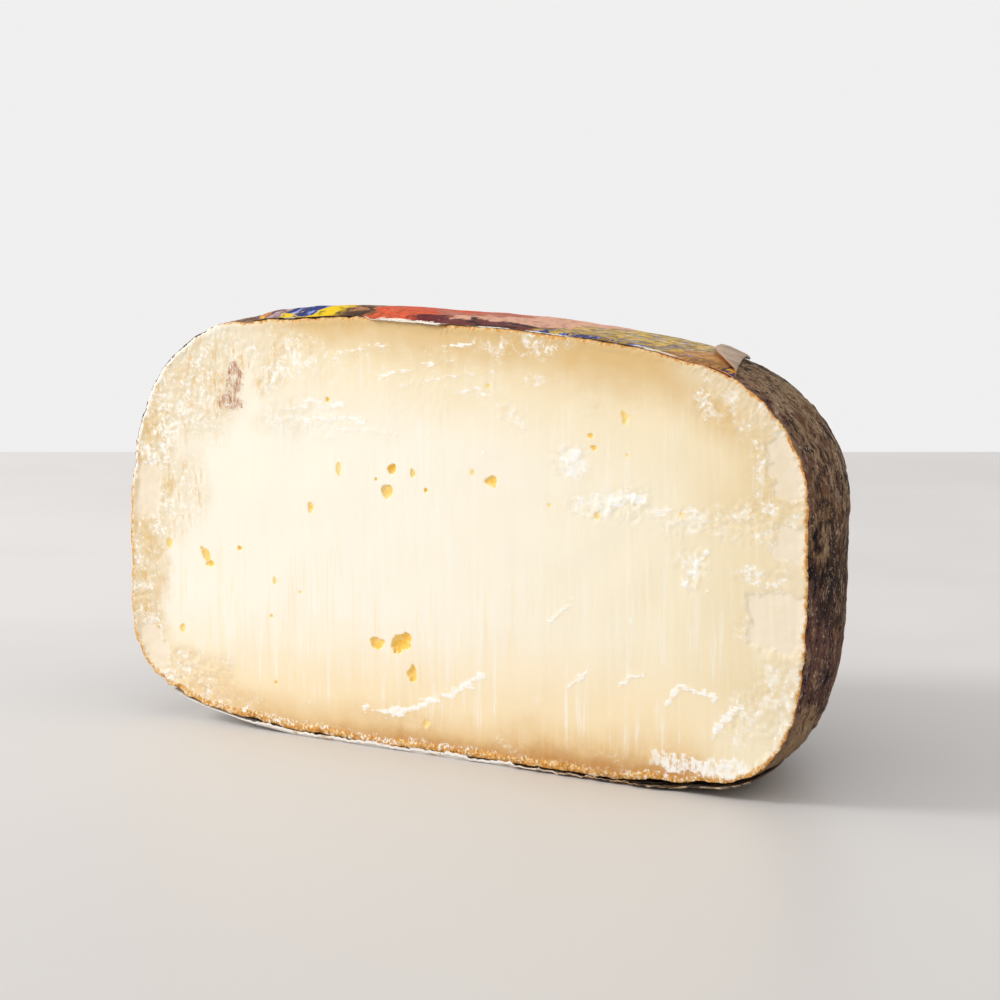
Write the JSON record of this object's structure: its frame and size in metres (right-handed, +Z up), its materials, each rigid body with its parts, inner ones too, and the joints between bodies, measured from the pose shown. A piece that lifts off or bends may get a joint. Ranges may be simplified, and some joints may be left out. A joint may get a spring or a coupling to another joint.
{
  "type": "half cheese wheel",
  "caption": "Half of a small natural-rind cheese wheel with an upright cut face, a paper label over the top and another under the base, resting on its flat base.",
  "frame": {"origin": "middle of the footprint's bounding box, on the surface that the half wheel rests on", "axes": "+X along the cut face towards the folded rim of the top label, +Y from the cut face into the body, +Z up"},
  "size_m": [0.1908, 0.0974, 0.1035],
  "materials": {
    "paste_and_rind": "slightly waxy ivory paste with a thin orange-brown line under a dry, dark grey-brown natural rind",
    "printed_paper": "uncoated printed label paper stuck to the rind, abstract bands and blotches of colour with no lettering",
    "plain_paper": "plain white label paper, torn along the cut"
  },
  "bodies": {
    "root": {"cheese": "paste_and_rind", "top_label": "printed_paper", "bottom_label": "plain_paper"}
  },
  "joints": []
}
